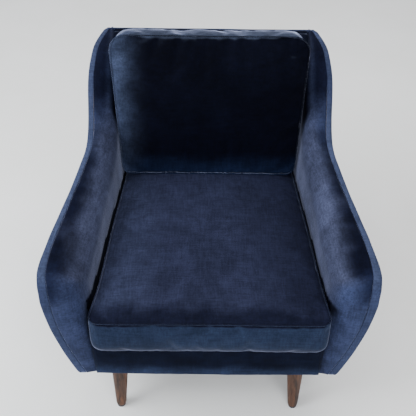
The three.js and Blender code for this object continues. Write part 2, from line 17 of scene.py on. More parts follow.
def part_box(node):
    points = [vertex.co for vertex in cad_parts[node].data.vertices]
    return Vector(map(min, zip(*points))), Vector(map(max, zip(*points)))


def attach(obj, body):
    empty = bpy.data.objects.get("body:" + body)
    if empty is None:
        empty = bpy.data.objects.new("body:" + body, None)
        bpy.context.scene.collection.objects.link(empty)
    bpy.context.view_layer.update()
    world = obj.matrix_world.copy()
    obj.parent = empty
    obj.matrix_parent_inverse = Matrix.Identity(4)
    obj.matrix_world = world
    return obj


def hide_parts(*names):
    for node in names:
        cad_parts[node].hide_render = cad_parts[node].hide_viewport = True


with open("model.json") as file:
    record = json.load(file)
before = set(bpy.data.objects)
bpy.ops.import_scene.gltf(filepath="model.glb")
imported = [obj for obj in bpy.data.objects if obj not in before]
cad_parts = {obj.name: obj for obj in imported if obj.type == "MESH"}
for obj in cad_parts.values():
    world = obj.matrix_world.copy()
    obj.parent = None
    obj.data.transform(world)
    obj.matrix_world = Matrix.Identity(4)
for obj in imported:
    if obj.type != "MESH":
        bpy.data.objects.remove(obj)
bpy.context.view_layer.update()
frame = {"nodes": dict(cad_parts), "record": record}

# ---------- Dimensions shared with the CAD ----------

BASE_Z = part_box("outside_back_cover")[0][2]
TOP_Z = 0.785
SEAT_Z = 0.450
DECK_Z = 0.318
FRONT_Y = -0.390
REAR_Y = 0.430
REAR_Y_AT_BASE = 0.352
SEAM_BAND = 0.016
REAR_ROUND = 0.010
BACK_LEAN = 0.268
INSIDE_BACK_Y = 0.262
ARM_FRONT_TOP_Z = 0.498
OUTSIDE_BULGE = 1.7  # how fast the outer face fills out above the base
INNER_FLARE = 0.08  # inner arm face, outwards per metre above the seat
INNER_TUCK = 0.025  # inner arm face, inwards per metre below the seat

# ---------- Curves ----------


def smooth_line(*points):
    """A smooth function through (t, value) points that never overshoots them. Takes arrays."""
    t, v = (np.array(column, float) for column in zip(*points))
    width = np.diff(t)
    slope = np.diff(v) / width
    before, after = slope[:-1], slope[1:]
    safe = np.where(before + after == 0, 1, before + after)
    inner = np.where(before * after > 0, 2 * before * after / safe, 0)
    tangent = np.concatenate([slope[:1], inner, slope[-1:]])

    def line(x):
        x = np.clip(np.asarray(x, float), t[0], t[-1])
        i = np.clip(np.searchsorted(t, x, side="right") - 1, 0, len(width) - 1)
        f = (x - t[i]) / width[i]
        return (
            (1 + 2 * f) * (1 - f) ** 2 * v[i]
            + f * (1 - f) ** 2 * width[i] * tangent[i]
            + f * f * (3 - 2 * f) * v[i + 1]
            + f * f * (f - 1) * width[i] * tangent[i + 1]
        )

    return line


def roll(distance, radius):
    """A quarter-round: 0 at an edge, 1 once the distance from it reaches the radius."""
    return np.sqrt(1 - (1 - np.clip(distance / radius, 0, 1)) ** 2)


def mix(a, b, f):
    return a + (b - a) * f


arm_top = smooth_line(
    (-0.390, ARM_FRONT_TOP_Z), (-0.378, 0.543), (-0.345, 0.565), (-0.150, 0.577), (0.060, 0.594),
    (0.160, 0.620), (0.235, 0.665), (0.300, 0.728), (0.355, 0.769), (0.430, TOP_Z),
)
arm_out_at_top = smooth_line(
    (-0.390, 0.407), (-0.340, 0.410), (-0.240, 0.400), (-0.100, 0.378), (0.030, 0.358),
    (0.125, 0.347), (0.275, 0.355), (0.345, 0.345), (0.400, 0.329), (0.430, 0.318),
)
arm_out_at_base = smooth_line(
    (-0.390, 0.355), (-0.100, 0.345), (0.150, 0.330), (0.380, 0.312), (0.430, 0.305),
)
arm_in_at_seat = smooth_line(
    (-0.390, 0.3065), (-0.330, 0.2995), (-0.250, 0.2925), (-0.090, 0.2825), (0.070, 0.2695),
    (0.160, 0.2630), (0.430, 0.2540),
)
front_edge = smooth_line(
    (BASE_Z, -0.371), (0.350, -0.386), (0.450, -0.391), (TOP_Z, FRONT_Y),
)


def rear_edge(z):
    return mix(REAR_Y_AT_BASE, REAR_Y, (z - BASE_Z) / (TOP_Z - BASE_Z))


def inside_back(z):
    return INSIDE_BACK_Y + (z - SEAT_Z) * BACK_LEAN


def station_at(y, z):
    along = (y - front_edge(z)) / (rear_edge(z) - front_edge(z))
    return mix(FRONT_Y, REAR_Y, along)


def outer_face(y, z):
    """Half the chair's width outside the arms, rounded off towards the rear edge."""
    station = station_at(y, z)
    height = np.clip((z - BASE_Z) / (arm_top(station) - BASE_Z), 0, 1)
    half = mix(arm_out_at_base(station), arm_out_at_top(station), 1 - (1 - height) ** OUTSIDE_BULGE)
    return half - REAR_ROUND * (1 - roll(rear_edge(z) - y, REAR_ROUND))


def inner_face(y, z):
    above = INNER_FLARE * np.maximum(0, z - SEAT_Z)
    below = INNER_TUCK * np.maximum(0, SEAT_Z - z)
    return arm_in_at_seat(station_at(y, z)) + above - below


# ---------- Mesh helpers ----------


def from_arrays(name, points, faces):
    """A smooth-shaded object with this mesh, linked to the scene."""
    mesh = bpy.data.meshes.new(name)
    mesh.from_pydata([tuple(p) for p in points], [], [tuple(f) for f in faces])
    mesh.update()
    piece = bpy.data.objects.new(name, mesh)
    bpy.context.scene.collection.objects.link(piece)
    mesh.polygons.foreach_set("use_smooth", [True] * len(mesh.polygons))
    return piece


def grid_faces(rows, columns, wrap=False):
    """Quads between the points of a grid, row by row. wrap joins its last column to its first."""
    faces = []
    for r in range(rows - 1):
        near, far = r * columns, (r + 1) * columns
        for c in range(columns if wrap else columns - 1):
            d = (c + 1) % columns
            faces.append((near + c, near + d, far + d, far + c))
    return faces


def mesh_points(piece):
    flat = np.empty(len(piece.data.vertices) * 3)
    piece.data.vertices.foreach_get("co", flat)
    return flat.reshape(-1, 3)


def set_points(piece, points):
    piece.data.vertices.foreach_set("co", np.asarray(points, float).ravel())
    piece.data.update()


def mesh_normals(piece):
    flat = np.empty(len(piece.data.vertices) * 3)
    piece.data.vertices.foreach_get("normal", flat)
    return flat.reshape(-1, 3)


def apply_all(piece):
    """Bakes the modifiers into the mesh."""
    graph = bpy.context.evaluated_depsgraph_get()
    baked = bpy.data.meshes.new_from_object(piece.evaluated_get(graph))
    piece.modifiers.clear()
    old = piece.data
    piece.data = baked
    bpy.data.meshes.remove(old)
    baked.name = piece.name


def thicken(piece, thickness):
    """Gives a single surface a back, on its inner side, so that it is closed."""
    solidify = piece.modifiers.new("thickness", "SOLIDIFY")
    solidify.thickness = thickness
    solidify.offset = -1
    solidify.use_even_offset = False
    apply_all(piece)


def face_outwards(piece, reference):
    """Flips the surface if it faces the reference point instead of away from it."""
    points, normals = mesh_points(piece), mesh_normals(piece)
    if np.sum((points - np.array(reference)) * normals) < 0:
        piece.data.flip_normals()


def mirror_copy(piece, name):
    mesh = piece.data.copy()
    mesh.name = name
    copy = bpy.data.objects.new(name, mesh)
    bpy.context.scene.collection.objects.link(copy)
    points = mesh_points(copy)
    points[:, 0] *= -1
    set_points(copy, points)
    mesh.flip_normals()
    return copy


def noise_at(points, scale, seed):
    """Smooth noise, one value per point, in cycles per metre."""
    shift = Vector((seed * 7.31, seed * 3.17, seed * 5.93))
    return np.array([noise(Vector(p) * scale + shift) for p in points])


def crease_noise(points, normals, amount, scale, seed):
    """Soft, broad unevenness, as in cloth stretched over foam."""
    wave = noise_at(points, scale, seed) + 0.5 * noise_at(points, scale * 2.1, seed + 1)
    return points + normals * (amount * wave)[:, None]


def ring_tube(name, path, radius, sides=8):
    """A round tube along a closed path of points."""
    path = np.asarray(path, float)
    count = len(path)
    tangent = np.roll(path, -1, 0) - np.roll(path, 1, 0)
    tangent /= np.linalg.norm(tangent, axis=1)[:, None]
    centre = path.mean(0)
    outward = path - centre
    outward -= np.sum(outward * tangent, 1)[:, None] * tangent
    outward /= np.linalg.norm(outward, axis=1)[:, None]
    other = np.cross(tangent, outward)
    angle = (np.arange(sides) * 2 * math.pi / sides)[None, :, None]
    ring = outward[:, None] * np.cos(angle) + other[:, None] * np.sin(angle)
    points = (path[:, None] + ring * radius).reshape(-1, 3)
    faces = grid_faces(count, sides, wrap=True)
    last = (count - 1) * sides
    for c in range(sides):
        d = (c + 1) % sides
        faces.append((last + c, last + d, d, c))
    return from_arrays(name, points, faces)


# ---------- Arms ----------

EDGE_ROUND = 0.006
SEAM_DEPTH = 0.0022
ROLL_AT_BASE = 0.010
ROLL_AT_FRONT = 0.055
ROLL_ON_TOP = 0.078
ROLL_ON_WING = 0.040
ROLL_GROWS_FROM_Z = 0.23
DENSE_REAR = REAR_ROUND * 1.5
RAIL_CORNER_Y = -0.345
INSIDE_PANEL_BOTTOM_Z = 0.300
INSIDE_PANEL_REAR_GAP = 0.004
CREVICE_FRONT_Y = -0.368
CREVICE_BEHIND = 0.030
CREVICE_DEPTH = 0.005
ARM_MIDDLE = (0.335, 0.0, 0.45)
PANEL_THICKNESS = 0.0025


def edge_curve(count):
    """(y, z) points along the arm's edge: up its front, back along its top, to the rear corner."""
    rise = np.linspace(BASE_Z, ARM_FRONT_TOP_Z, 60)
    front = np.stack([front_edge(rise), rise], 1)
    station = FRONT_Y + (REAR_Y - FRONT_Y) * np.linspace(0, 1, 400) ** 1.8
    z = arm_top(station)
    y = mix(front_edge(z), rear_edge(z), (station - FRONT_Y) / (REAR_Y - FRONT_Y))
    curve = np.concatenate([front, np.stack([y, z], 1)[1:]])
    return resample(curve, count, dense_end=DENSE_REAR)


def resample(curve, count, dense_end=0.0):
    """Evenly spaced points along a curve, with an eighth of them in its last dense_end metres."""
    length = np.concatenate([[0], np.cumsum(np.linalg.norm(np.diff(curve, axis=0), axis=1))])
    close = count // 8 if dense_end else 0
    even = np.linspace(0, length[-1] - dense_end, count - close)
    at = np.concatenate([even, length[-1] - dense_end * np.linspace(1, 0, close + 1)[1:] ** 1.5])
    return np.stack([np.interp(at, length, curve[:, k]) for k in range(curve.shape[1])], 1)


def distance_to(curve, points):
    """Distance of each point from a polyline in the plane."""
    start, step = curve[:-1], np.diff(curve, axis=0)
    size = np.sum(step**2, 1)
    best = np.full(len(points), 1e9)
    for a, d, s in zip(start, step, size):
        along = np.clip(((points - a) @ d) / s, 0, 1)
        best = np.minimum(best, np.linalg.norm(points - a - along[:, None] * d, axis=1))
    return best


ALONG = 180
EDGE = edge_curve(ALONG)
FINE_EDGE = edge_curve(500)


def spread(edge, inner, fractions):
    """Rows of (y, z) points between the edge and an inner line, one row per fraction."""
    return np.stack([mix(edge, inner, f) for f in fractions])


def outside_panel():
    """The outer face, its rounded edge, and the strip that wraps over it to the seam."""
    base = np.array([[EDGE[0, 0], BASE_Z], [REAR_Y_AT_BASE, BASE_Z]])
    base = resample(base, ALONG, dense_end=DENSE_REAR)
    fractions = [1, 0.85, 0.7, 0.55, 0.42, 0.3, 0.2, 0.12, 0.07, 0.04, 0.025, 0.015, 0.008, 0.003, 0]
    yz = spread(EDGE, base, fractions).reshape(-1, 2)
    near = distance_to(FINE_EDGE, yz)
    x = outer_face(yz[:, 0], yz[:, 1]) - EDGE_ROUND * (1 - roll(near, EDGE_ROUND))
    panel = np.stack([x, yz[:, 0], yz[:, 1]], 1).reshape(len(fractions), ALONG, 3)
    insets = [0.009, 0.012, 0.0145, 0.0156, 0.0162]
    sinks = [0, 0, 0.0002, 0.0009, SEAM_DEPTH]
    return np.concatenate([panel, strip_rows(insets, sinks)])


def band_scale(station):
    """The boxing strip along the edge is half as wide again down the front of the arm."""
    return np.interp(station, [-0.39, -0.36, -0.24], [1.5, 1.3, 1.0])


def strip_rows(insets, sinks):
    """Rows across the top of the arm's edge, each so far in from the outer face and so deep."""
    inward = edge_normals()
    scale = band_scale(station_at(EDGE[:, 0], EDGE[:, 1]))
    rows = []
    for inset, sink in zip(insets, sinks):
        yz = EDGE + inward * sink
        x = outer_face(EDGE[:, 0], EDGE[:, 1]) - inset * scale
        rows.append(np.stack([x, yz[:, 0], yz[:, 1]], 1))
    return np.stack(rows)


def edge_normals():
    tangent = np.gradient(EDGE, axis=0)
    tangent /= np.linalg.norm(tangent, axis=1)[:, None]
    return np.stack([tangent[:, 1], -tangent[:, 0]], 1)


def inside_panel():
    """From the seam over the roll, down the inner face."""
    low = INSIDE_PANEL_BOTTOM_Z
    rear = rear_edge(low) - 2 * INSIDE_PANEL_REAR_GAP
    bottom = [[EDGE[0, 0], BASE_Z], [RAIL_CORNER_Y, BASE_Z], [RAIL_CORNER_Y, low], [rear, low]]
    inner = resample(np.array(bottom), ALONG, dense_end=DENSE_REAR)
    fractions = [0, 0.0008, 0.003, 0.007, 0.013, 0.02, 0.03, 0.042, 0.056, 0.073, 0.093, 0.117]
    fractions += list(np.linspace(0.145, 1, 30))
    yz = spread(EDGE, inner, fractions).reshape(-1, 2)
    yz[:, 0] = np.minimum(yz[:, 0], rear_edge(yz[:, 1]) - INSIDE_PANEL_REAR_GAP)
    near = distance_to(FINE_EDGE, yz)
    station = station_at(yz[:, 0], yz[:, 1])
    rolls = [ROLL_AT_FRONT, ROLL_ON_TOP, ROLL_ON_TOP, ROLL_ON_WING]
    radius = np.interp(station, [-0.39, -0.33, 0.15, 0.32], rolls)
    height = (yz[:, 1] - ROLL_GROWS_FROM_Z) / (SEAT_Z - ROLL_GROWS_FROM_Z)
    radius = mix(ROLL_AT_BASE, radius, np.clip(height, 0, 1))
    outer = outer_face(yz[:, 0], yz[:, 1])
    full = outer - inner_face(yz[:, 0], yz[:, 1])
    band = (SEAM_BAND + 0.0006) * band_scale(station)
    x = outer - mix(band, full, roll(near, radius))
    panel = np.stack([x, yz[:, 0], yz[:, 1]], 1).reshape(len(fractions), ALONG, 3)
    seam = strip_rows([0.0163, 0.0166, 0.0172], [SEAM_DEPTH, 0.0010, 0.0002])
    return np.concatenate([seam, panel[1:]])


def pucker(grid, depth, reach, first_row, seed):
    """Small gathers that run away from a seam, deepest beside it."""
    steps = np.linalg.norm(np.diff(grid[first_row], axis=0), axis=1)
    along = np.concatenate([[0], np.cumsum(steps)])
    broad = [noise(Vector((s * 55, seed, 0))) for s in along]
    fine = [noise(Vector((s * 120, seed, 3))) for s in along]
    wave = np.array([b + 0.7 * f for b, f in zip(broad, fine)])
    across = np.linalg.norm(grid - grid[first_row][None], axis=2)
    fade = np.clip(across / 0.004, 0, 1) * np.exp(-across / reach)
    normal = grid_normals(grid)
    fade[:first_row] = 0
    return grid + normal * (depth * fade * wave[None])[:, :, None]


def grid_normals(grid):
    down = np.gradient(grid, axis=0)
    across = np.gradient(grid, axis=1)
    normal = np.cross(across, down)
    return normal / np.maximum(np.linalg.norm(normal, axis=2), 1e-9)[:, :, None]


def arm_piece(name, grid, cloth, replaced, seed):
    """The right arm's panel, and its mirror image on the left."""
    right = panel_between(f"{name}_right", grid)
    face_outwards(right, ARM_MIDDLE)
    set_points(right, crease_noise(mesh_points(right), mesh_normals(right), 0.0016, 7, seed))
    thicken(right, PANEL_THICKNESS)
    left = mirror_copy(right, f"{name}_left")
    for piece, side in ((right, "right"), (left, "left")):
        upholster(piece, "chair", cloth, *[f"{node}_{side}" for node in replaced])
        if cloth == "arm":
            shade_crevices(piece)


def shade_crevices(piece):
    """Painted shade: the inner face gets the near-black cloth beside the seat and behind the back
    cushion.
    """
    piece.data.materials.append(VELVETS["crevice_shade"])
    for face in piece.data.polygons:
        x, y, z = face.center
        inward = abs(x) < inner_face(y, z) + CREVICE_DEPTH
        beside_seat = y > CREVICE_FRONT_Y and z < seat_level(y, SEAT_HEIGHT)
        behind_cushion = y > inside_back(z) - CREVICE_BEHIND
        if inward and (beside_seat or behind_cushion):
            face.material_index = 1


def upholster(piece, body, cloth, *nodes, fill=0.95):
    """Covers a piece in velvet, hangs it on its body, and hides the plain nodes it stands in for."""
    piece.data.materials.clear()
    piece.data.materials.append(VELVETS[cloth])
    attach(piece, body)
    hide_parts(*nodes)


# ---------- Flat panels of the shell ----------


RAIL_FACE_Y = -0.372
BACK_ROLL = 0.036
INSIDE_BACK_HALF = 0.296


def panel_between(name, rows):
    """A surface through rows of points."""
    grid = np.array(rows)
    return from_arrays(name, grid.reshape(-1, 3), grid_faces(*grid.shape[:2]))


def front_rail():
    """Goes up the front of the rail and back over the edge of the deck, pulled tight round it."""
    profile = np.array([
        (-0.368, 0.1785), (-0.3735, 0.1792), (-0.3755, 0.183), (-0.377, 0.215), (-0.3785, 0.260),
        (-0.3785, 0.296), (-0.376, 0.3085), (-0.369, 0.3155), (-0.358, 0.3174), (-0.330, 0.3174),
    ])
    profile = resample(profile, 50)
    rows = []
    for y, z in profile:
        half = float(inner_face(np.array(RAIL_FACE_Y), np.array(z))) + 0.002
        across = np.linspace(-1, 1, 60)
        rows.append([(half * f, y - 0.0012 * math.cos(f * math.pi / 2), z) for f in across])
    piece = panel_between("front_rail_upholstery", rows)
    face_outwards(piece, (0, -0.3, 0.2))
    set_points(piece, crease_noise(mesh_points(piece), mesh_normals(piece), 0.0009, 9, 4))
    thicken(piece, PANEL_THICKNESS)
    upholster(piece, "chair", "rail", "front_rail_cover")


def inside_back_panel():
    """The strip along the top edge, a seam, the roll, and the leaning inside face."""
    rows = []
    drops = [0.0004, 0.0015, 0.004, 0.008, 0.014, 0.022, 0.030, *np.linspace(0.045, 0.475, 40)]
    insets = [0.004, 0.008, 0.0140, 0.0156, 0.0162, 0.0168]
    sinks = [0, 0, 0, 0.0008, SEAM_DEPTH, 0.0008]
    rear = rear_edge(TOP_Z)
    profile = [(rear - inset, TOP_Z - sink, sink) for inset, sink in zip(insets, sinks)]
    for d in drops:
        z = TOP_Z - d
        full = rear_edge(z) - inside_back(z)
        profile.append((rear_edge(z) - mix(0.0175, full, float(roll(d, BACK_ROLL))), z, d))
    for y, z, d in profile:
        top = float(arm_top(station_at(np.array(y), np.array(min(z, TOP_Z)))))
        level = top - d if d < BACK_ROLL else z
        level = mix(level, z, min(1, d / BACK_ROLL))
        half = float(inner_face(np.array(y), np.array(level))) + 0.006
        half = min(half, INSIDE_BACK_HALF)
        rows.append([(half * f, y, level) for f in np.linspace(-1, 1, 70)])
    piece = panel_between("inside_back_upholstery", rows)
    face_outwards(piece, (0, 0.40, 0.4))
    thicken(piece, PANEL_THICKNESS)
    # Painted shade: the rail's near-black velvet, behind the back cushion.
    upholster(piece, "chair", "rail", "inside_back_cover", "back_padding")


def outside_back_panel():
    """The rear face, swelling a little over its webs and dipping into the seams at its edges."""
    rows = []
    for level in np.linspace(0, 1, 50):
        z = mix(BASE_Z, TOP_Z, level)
        half = float(outer_face(np.array(rear_edge(z)), np.array(z))) + 0.0015
        row = []
        for f in np.linspace(-1, 1, 60):
            edge = min((1 - abs(f)) * half, (1 - level) * 0.6, level * 0.6)
            swell = 0.004 * (1 - math.exp(-edge / 0.05))
            dip = 0.001 * math.exp(-edge / 0.003)
            row.append((half * f, rear_edge(z) + (swell - dip), z))
        rows.append(row)
    piece = panel_between("outside_back_upholstery", rows)
    face_outwards(piece, (0, 0.3, 0.45))
    set_points(piece, crease_noise(mesh_points(piece), mesh_normals(piece), 0.0012, 6, 9))
    thicken(piece, PANEL_THICKNESS)
    upholster(piece, "chair", "edge", "outside_back_cover")


# ---------- Loose cushions ----------


def rounded(u, v, half_x, half_y, corner):
    """Maps the square |u|, |v| <= 1 ring by ring onto a rectangle with rounded corners."""
    ring = np.maximum(np.maximum(np.abs(u), np.abs(v)), 1e-9)
    x, y = np.abs(u) / ring * half_x, np.abs(v) / ring * half_y
    side = np.abs(u) >= np.abs(v)
    past_y = np.clip((y - half_y + corner) / corner, 0, 1)
    past_x = np.clip((x - half_x + corner) / corner, 0, 1)
    turned = np.where(side, past_y, past_x)
    angle = np.where(side, past_y * math.pi / 4, math.pi / 2 - past_x * math.pi / 4)
    x = np.where(turned > 0, half_x - corner + corner * np.cos(angle), x)
    y = np.where(turned > 0, half_y - corner + corner * np.sin(angle), y)
    return np.sign(u) * x * ring / half_x, np.sign(v) * y * ring / half_y


class Cushion:
    """A boxed cushion: two panels and a boxing strip, sewn along two seams.

    place(u, v, h) gives the point at u, v across the panels, and at h through the thickness.
    """

    def __init__(self, name, half_x, half_y, corner, cell, rows, place):
        self.name = name
        nx, ny = (max(8, round(2 * half / cell)) for half in (half_x, half_y))
        u, v = np.meshgrid(np.linspace(-1, 1, nx + 1), np.linspace(-1, 1, ny + 1))
        u, v = u.ravel(), v.ravel()
        u, v = rounded(u, v, half_x, half_y, np.where(v > 0, corner[1], corner[0]))
        panel = len(u)
        low, high = place(u, v, np.zeros(panel)), place(u, v, np.ones(panel))
        loop = self.border(nx + 1, ny + 1)
        points = [low, high]
        faces = [f[::-1] for f in grid_faces(ny + 1, nx + 1)]
        faces += [tuple(i + panel for i in f) for f in grid_faces(ny + 1, nx + 1)]
        rings = [list(loop)]
        start = 2 * panel
        for level in np.linspace(0, 1, rows + 1)[1:-1]:
            points.append(place(u[loop], v[loop], np.full(len(loop), level)))
            rings.append(list(range(start, start + len(loop))))
            start += len(loop)
        rings.append([i + panel for i in loop])
        for lower, upper in zip(rings, rings[1:]):
            for i in range(len(loop)):
                j = (i + 1) % len(loop)
                faces.append((lower[i], lower[j], upper[j], upper[i]))
        self.seams = [rings[0], rings[-1]]
        self.piece = from_arrays(name, np.concatenate(points), faces)
        self.piece.data.validate()
        seam = self.piece.vertex_groups.new(name="seam")
        seam.add([int(i) for ring in self.seams for i in ring], 1.0, "REPLACE")

    @staticmethod
    def border(nx, ny):
        """Indices of a grid's border, in order round it."""
        south = list(range(nx))
        east = [nx - 1 + nx * j for j in range(1, ny)]
        north = [nx * (ny - 1) + i for i in range(nx - 2, -1, -1)]
        west = [nx * j for j in range(ny - 2, 0, -1)]
        return np.array(south + east + north + west)


def inflate(cushion, pressure, ease, cap, frames=20):
    """Cloth simulation: the cover is blown out by its filling, and gathers along its seams."""
    piece = cushion.piece
    rest = mesh_points(piece)
    held = piece.vertex_groups.new(name="held")
    held.add([int(i) for ring in cushion.seams for i in ring], 0.85, "REPLACE")
    cloth = piece.modifiers.new("cloth", "CLOTH")
    settings = cloth.settings
    settings.quality = 6
    settings.mass = 0.25
    settings.tension_stiffness = 22
    settings.compression_stiffness = 22
    settings.shear_stiffness = 9
    settings.bending_stiffness = 2.5
    settings.use_pressure = True
    settings.uniform_pressure_force = pressure
    settings.effector_weights.gravity = 0
    settings.vertex_group_shrink = "seam"
    settings.shrink_min = -ease
    settings.shrink_max = 0
    settings.vertex_group_mass = "held"
    settings.pin_stiffness = 0.5
    cloth.collision_settings.use_collision = False
    cloth.point_cache.frame_start = 1
    cloth.point_cache.frame_end = frames
    for step in range(1, frames + 1):
        bpy.context.scene.frame_set(step)
    apply_all(piece)
    bpy.context.scene.frame_set(1)
    moved = mesh_points(piece) - rest
    length = np.linalg.norm(moved, axis=1)
    limit = cap * np.tanh(length / cap) / np.maximum(length, 1e-9)
    return rest + moved * limit[:, None]


SEAT_FRONT = smooth_line((0, -0.3985), (0.42, -0.4240), (0.92, -0.4150), (1, -0.4140))
SEAT_HEIGHT = 0.1315
SEAT_FALL = 0.0262 / 0.142
SEAT_SIDE_GAP = 0.0065
SEAT_REAR_GAP = 0.009
SEAT_SHIFT = 0.002  # the loose cushions don't sit dead centre
SEAT_HALF_X = 0.292
SEAT_HALF_Y = 0.330
SEAT_CROWN = 0.149
SEAT_FRONT_LIMIT = 0.432
SEAT_CORNERS = (0.026, 0.030)  # radius at the front and at the back
CROWN_ABOVE = 0.99  # only the upper panel, at this share of the thickness, is crowned


def seat_level(y, rise):
    """Height of the seat's layers, which fall away a little towards the back."""
    return DECK_Z + 0.0012 + rise * (1 - SEAT_FALL * (y + 0.418))


def place_seat(u, v, h):
    """A point of the seat cushion, before it is filled."""
    front = SEAT_FRONT(h)
    z = DECK_Z + SEAT_HEIGHT * h
    rear = inside_back(z * 0.88 + DECK_Z * 0.12) - SEAT_REAR_GAP - 0.004
    y = mix(front, rear, (v + 1) / 2)
    half = arm_in_at_seat(y) - SEAT_SIDE_GAP - 0.0025
    swell = (1 - u**2) * (1 - v**2) * np.where(h > CROWN_ABOVE, 0.010, 0)
    return np.stack([u * half, y, seat_level(y, SEAT_HEIGHT * h + swell)], 1)


BACK_BOTTOM_Z = 0.453
BACK_TOP_REAR_Z = 0.819
BACK_TOP_RISE = 0.036
BACK_THICKNESS = 0.106
BACK_REAR_GAP = 0.006
BACK_SHIFT = -0.004
BACK_HALF_X = 0.268
BACK_HALF_Y = 0.190
BACK_HALF_AT_BOTTOM = 0.259
BACK_HALF_AT_TOP = 0.279
BACK_HALF_ABOVE_ARMS = 0.290
BACK_CORNERS = (0.026, 0.044)  # radius at the bottom and at the top
BACK_LIMIT_Z = 0.861


def place_back(u, v, h):
    """A point of the back cushion, before it is filled."""
    depth = BACK_THICKNESS * h
    top = BACK_TOP_REAR_Z + BACK_TOP_RISE * h
    z = mix(BACK_BOTTOM_Z, top, (v + 1) / 2)
    half = mix(BACK_HALF_AT_BOTTOM, BACK_HALF_AT_TOP, (z - BACK_BOTTOM_Z) / 0.39)
    swell = (1 - u**2) * (1 - v**2) * np.where(h > CROWN_ABOVE, 0.014, 0)
    y = inside_back(z) - BACK_REAR_GAP - depth - swell
    return np.stack([u * half, y, z], 1)


def at_most(value, limit, softness=0.002):
    """value where it is well below limit, easing into limit above it."""
    gap = (limit - value) / softness
    return limit - softness * np.logaddexp(0, gap)


def settle_seat(points):
    """Rests the cushion on the deck, and keeps it off the arms and the back."""
    x, y, z = points.T
    x = x + SEAT_SHIFT
    z = -at_most(-z, -(DECK_Z + 0.0010))
    y = at_most(y, inside_back(z) - 0.004)
    places = [-0.415, -0.370, -0.300, -0.150, 0.100]
    left_gap = np.interp(y, places, [0.006, 0.010, 0.014, 0.012, 0.006])
    right_gap = np.interp(y, places[:3], [0.005, 0.004, 0.002])
    wall = arm_in_at_seat(y) - np.where(x < 0, left_gap, right_gap)
    x = np.sign(x) * at_most(np.abs(x), wall)
    y = -at_most(-y, SEAT_FRONT_LIMIT)
    z = at_most(z, seat_level(y, SEAT_CROWN), 0.004)
    return np.stack([x, y, z], 1)


def settle_back(points):
    """Rests the cushion on the seat and the back, and keeps it between the arms."""
    x, y, z = points.T
    x = x + BACK_SHIFT
    y = at_most(y, inside_back(z) - 0.0025)
    z = -at_most(-z, -np.maximum(seat_level(y, 0.1335), 0.440))
    gap = np.where(x > 0, 0.007, 0.004)
    wall = inner_face(np.minimum(y, 0.38), np.minimum(z, 0.76)) - gap
    above = np.clip((z - 0.765) / 0.03, 0, 1)
    x = np.sign(x) * at_most(np.abs(x), mix(wall, BACK_HALF_ABOVE_ARMS, above))
    z = at_most(z, BACK_LIMIT_Z, 0.004)
    return np.stack([x, y, z], 1)


SEAM_SINK = 0.0013
WELT_RADIUS = 0.0015


def finish_cushion(cushion, body, cloth, nodes, settled, zip_zone, gather, fill):
    """Adds the seams, a welt in one of them, and the recess for the zip."""
    piece = cushion.piece
    set_points(piece, settled)
    rings = [settled[ring] for ring in cushion.seams]
    subdivide = piece.modifiers.new("smooth", "SUBSURF")
    subdivide.levels = subdivide.render_levels = 1
    apply_all(piece)
    weights = group_weights(piece, "seam")
    points, normals = mesh_points(piece), mesh_normals(piece)
    for seed, ring in enumerate(rings):
        close = dict(reach=0.012, pitch=0.017, lean=0.4, seed=seed)
        points = points + gathers(points, normals, ring, gather, **close)
        wide = dict(reach=0.026, pitch=0.034, lean=0.9, seed=seed + 5)
        points = points + gathers(points, normals, ring, 0.7 * gather, **wide)
    points = points - normals * (SEAM_SINK * weights**2)[:, None]
    set_points(piece, zip_zone(points))
    piece.vertex_groups.clear()
    upholster(piece, body, cloth, *nodes, fill=fill)
    front = rings[1]
    for _ in range(2):
        front = (np.roll(front, 1, 0) + 2 * front + np.roll(front, -1, 0)) / 4
    welt = ring_tube(f"{cushion.name}_welt", front, WELT_RADIUS)
    welt.data.materials.append(VELVETS[cloth])
    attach(welt, body)


def gathers(points, normals, seam, depth, reach, pitch, lean, seed):
    """How far each point moves along its normal, in the small gathers along a seam.

    They fade over reach. Their spacing is about the pitch, and they lean along the seam.
    """
    ring = resample(np.concatenate([seam, seam[:1]]), 1500)
    length = np.linalg.norm(np.diff(ring, axis=0), axis=1).sum()
    tree = KDTree(len(ring))
    for i, place in enumerate(ring):
        tree.insert(place, i)
    tree.balance()
    moved = np.zeros(len(points))
    for i, point in enumerate(points):
        _, nearest, distance = tree.find(point)
        if distance > 3 * reach:
            continue
        along = nearest / len(ring) * length + lean * distance
        place = Vector((along / pitch, seed, distance * 12))
        wave = noise(place) + 0.6 * noise(place * 2.3)
        strength = 0.5 + 0.5 * noise(Vector((along * 7, seed + 9, 0)))
        moved[i] = depth * wave * strength * min(1, distance / 0.003) * math.exp(-distance / reach)
    return normals * moved[:, None]


def group_weights(piece, name):
    index = piece.vertex_groups[name].index
    weights = np.zeros(len(piece.data.vertices))
    for vertex in piece.data.vertices:
        for entry in vertex.groups:
            if entry.group == index:
                weights[vertex.index] = entry.weight
    return weights


ZIP_HALF_LENGTH = 0.210
ZIP_HALF_WIDTH = 0.0088
ZIP_RECESS = 0.0032
SEAT_ZIP_Z = DECK_Z + 0.062
BACK_ZIP_Z = 0.451


def zip_slit(x, across):
    """1 inside the zip's slit, falling to 0 just outside it."""
    length = np.clip((ZIP_HALF_LENGTH + 0.003 - np.abs(x)) / 0.004, 0, 1)
    width = np.clip((ZIP_HALF_WIDTH - np.abs(across)) / 0.0035, 0, 1)
    return length * width


def zip_strip(x, across):
    """1 on the flat strip round the slit, falling to 0 outside it."""
    width = np.clip((0.028 - np.abs(across)) / 0.012, 0, 1)
    length = np.clip((0.235 - np.abs(x)) / 0.02, 0, 1)
    return width * length


def seat_zip_zone(points):
    """Flattens the seat's rear boxing round its zip, and sinks the slit."""
    x, y, z = points.T.copy()
    plane = inside_back(z) - SEAT_REAR_GAP
    rear = y > plane - 0.03
    slit = zip_slit(x, z - SEAT_ZIP_Z) * rear
    y = mix(y, plane, zip_strip(x, z - SEAT_ZIP_Z) * rear)
    return np.stack([x, y - ZIP_RECESS * slit, z], 1)


